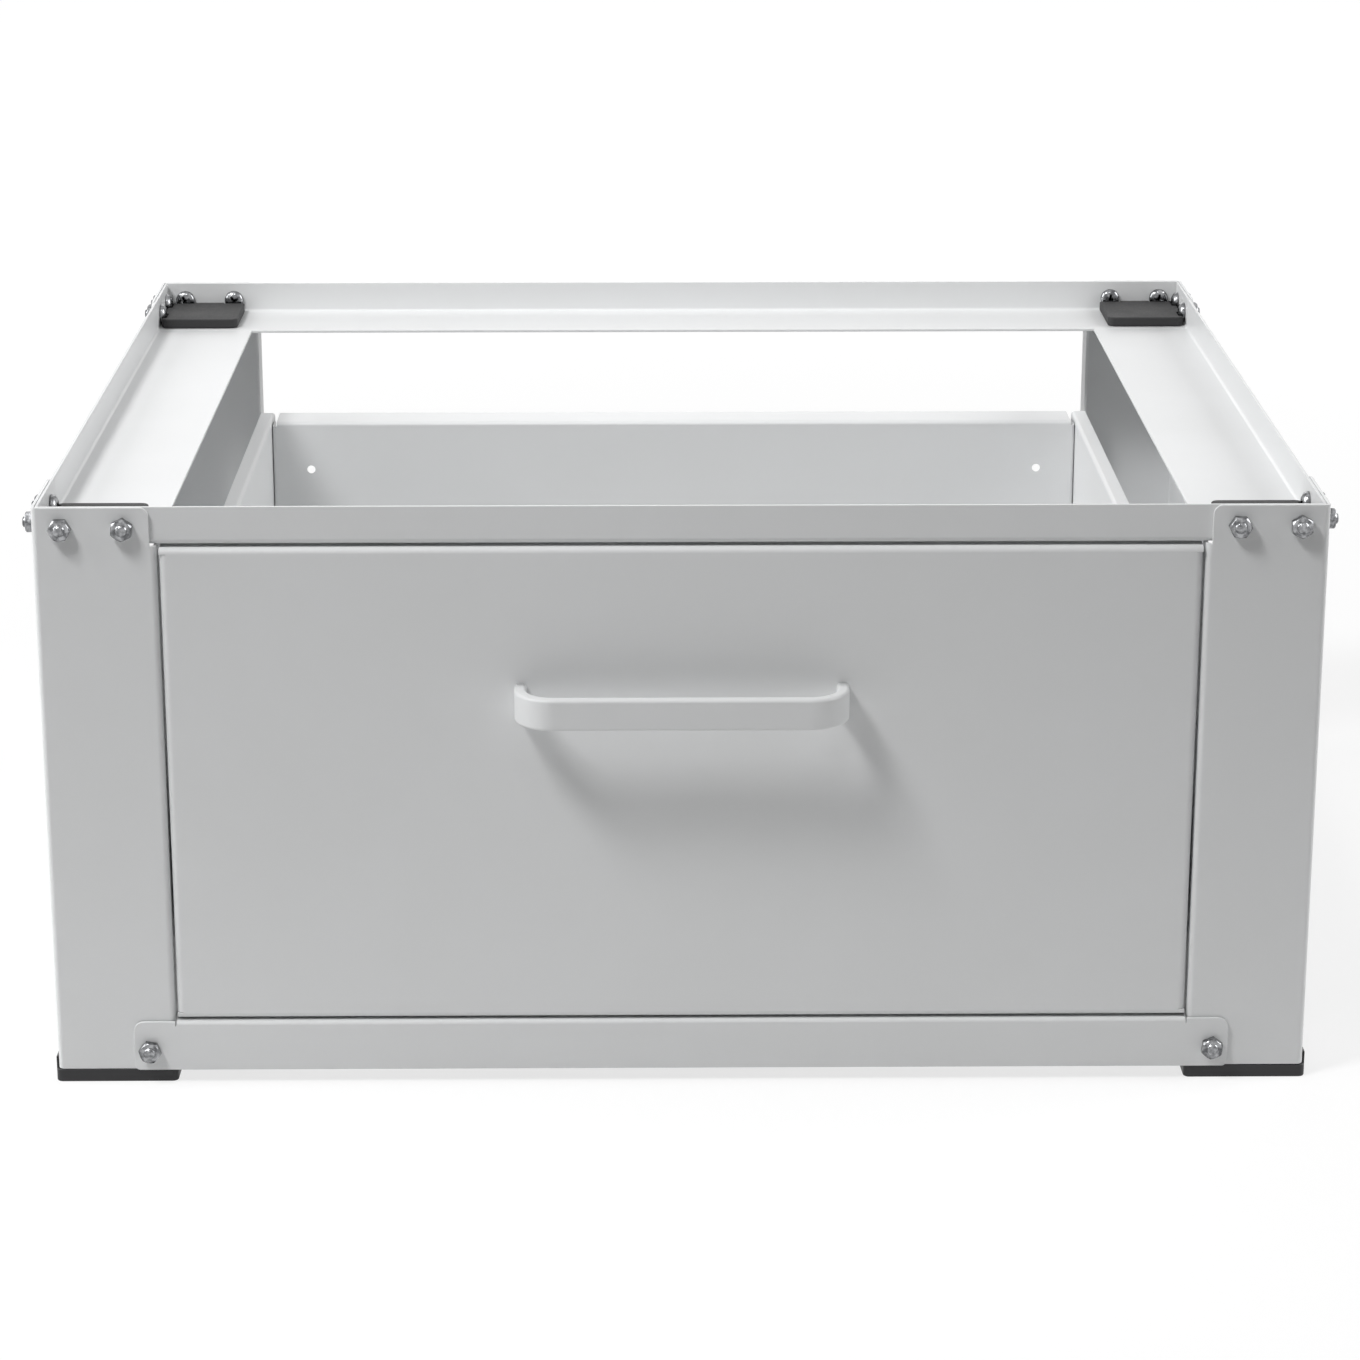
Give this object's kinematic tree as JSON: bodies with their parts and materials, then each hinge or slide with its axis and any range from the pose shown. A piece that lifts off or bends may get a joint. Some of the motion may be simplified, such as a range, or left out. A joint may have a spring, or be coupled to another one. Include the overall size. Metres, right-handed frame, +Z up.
{
  "type": "washing machine pedestal with drawer",
  "caption": "Raised steel stand for a washing machine: a lipped tray with corner pads on folded posts, over a wide pull-out storage drawer with a strip handle.",
  "frame": {"origin": "on the floor, under the middle of the whole pedestal's box, handle and bolt ends included", "axes": "+X to the pedestal's right seen from the front, -Y the way the drawer opens, +Z up"},
  "size_m": [0.6418, 0.5806, 0.3],
  "materials": {
    "powder_coat": "satin white powder coat on folded steel sheet",
    "foot_plastic": "moulded black plastic, finely grained",
    "pad_rubber": "matt black rubber",
    "bolt_chrome": "bright plated",
    "zinc_plate": "bright zinc plate",
    "slide_steel": "black zinc plate"
  },
  "bodies": {
    "frame": {"post_front_left": "powder_coat", "post_front_right": "powder_coat", "post_back_left": "powder_coat", "post_back_right": "powder_coat", "tray_rail_front": "powder_coat", "tray_rail_back": "powder_coat", "tray_rail_left": "powder_coat", "tray_rail_right": "powder_coat", "tie_rail_front": "powder_coat", "tie_rail_back": "powder_coat", "foot_front_left": "foot_plastic", "foot_front_right": "foot_plastic", "foot_back_left": "foot_plastic", "foot_back_right": "foot_plastic", "corner_pad_front_left": "pad_rubber", "corner_pad_front_right": "pad_rubber", "corner_pad_back_left": "pad_rubber", "corner_pad_back_right": "pad_rubber", "tray_bolt_front_left_outer_end": "bolt_chrome", "tray_bolt_front_left_outer_side": "bolt_chrome", "tray_bolt_front_left_inner_end": "bolt_chrome", "tray_bolt_front_left_inner_side": "bolt_chrome", "tray_bolt_front_right_outer_end": "bolt_chrome", "tray_bolt_front_right_outer_side": "bolt_chrome", "tray_bolt_front_right_inner_end": "bolt_chrome", "tray_bolt_front_right_inner_side": "bolt_chrome", "tray_bolt_back_left_outer_end": "bolt_chrome", "tray_bolt_back_left_outer_side": "bolt_chrome", "tray_bolt_back_left_inner_end": "bolt_chrome", "tray_bolt_back_left_inner_side": "bolt_chrome", "tray_bolt_back_right_outer_end": "bolt_chrome", "tray_bolt_back_right_outer_side": "bolt_chrome", "tray_bolt_back_right_inner_end": "bolt_chrome", "tray_bolt_back_right_inner_side": "bolt_chrome", "tie_bolt_front_left": "bolt_chrome", "tie_bolt_front_right": "bolt_chrome", "tie_bolt_back_left": "bolt_chrome", "tie_bolt_back_right": "bolt_chrome", "slide_carrier_left": "zinc_plate", "slide_carrier_right": "zinc_plate", "slide_outer_left": "slide_steel", "slide_outer_right": "slide_steel"},
    "drawer": {"drawer_side_left": "powder_coat", "drawer_side_right": "powder_coat", "drawer_back": "powder_coat", "drawer_floor": "powder_coat", "drawer_front": "powder_coat", "handle": "powder_coat", "handle_screw_left": "zinc_plate", "handle_screw_right": "zinc_plate", "slide_inner_left": "slide_steel", "slide_inner_right": "slide_steel"},
    "slide_middle_left": {"slide_middle_left": "slide_steel"},
    "slide_cage_outer_left": {"slide_cage_outer_left": "zinc_plate"},
    "slide_cage_inner_left": {"slide_cage_inner_left": "zinc_plate"},
    "slide_middle_right": {"slide_middle_right": "slide_steel"},
    "slide_cage_outer_right": {"slide_cage_outer_right": "zinc_plate"},
    "slide_cage_inner_right": {"slide_cage_inner_right": "zinc_plate"}
  },
  "joints": [
    {"name": "drawer_slide", "type": "slide", "parent": "frame", "child": "drawer", "axis": [0, -1, 0], "range_m": [0, 0.43]},
    {"name": "slide_middle_left_travel", "type": "slide", "parent": "frame", "child": "slide_middle_left", "axis": [0, -1, 0], "range_m": [0, 0.215]},
    {"name": "slide_cage_outer_left_travel", "type": "slide", "parent": "frame", "child": "slide_cage_outer_left", "axis": [0, -1, 0], "range_m": [0, 0.1075]},
    {"name": "slide_cage_inner_left_travel", "type": "slide", "parent": "frame", "child": "slide_cage_inner_left", "axis": [0, -1, 0], "range_m": [0, 0.3225]},
    {"name": "slide_middle_right_travel", "type": "slide", "parent": "frame", "child": "slide_middle_right", "axis": [0, -1, 0], "range_m": [0, 0.215]},
    {"name": "slide_cage_outer_right_travel", "type": "slide", "parent": "frame", "child": "slide_cage_outer_right", "axis": [0, -1, 0], "range_m": [0, 0.1075]},
    {"name": "slide_cage_inner_right_travel", "type": "slide", "parent": "frame", "child": "slide_cage_inner_right", "axis": [0, -1, 0], "range_m": [0, 0.3225]}
  ],
  "couplings": [
    {"joint": "slide_middle_left_travel", "follows": "drawer_slide", "ratio": 0.5},
    {"joint": "slide_cage_outer_left_travel", "follows": "drawer_slide", "ratio": 0.25},
    {"joint": "slide_cage_inner_left_travel", "follows": "drawer_slide", "ratio": 0.75},
    {"joint": "slide_middle_right_travel", "follows": "drawer_slide", "ratio": 0.5},
    {"joint": "slide_cage_outer_right_travel", "follows": "drawer_slide", "ratio": 0.25},
    {"joint": "slide_cage_inner_right_travel", "follows": "drawer_slide", "ratio": 0.75}
  ]
}
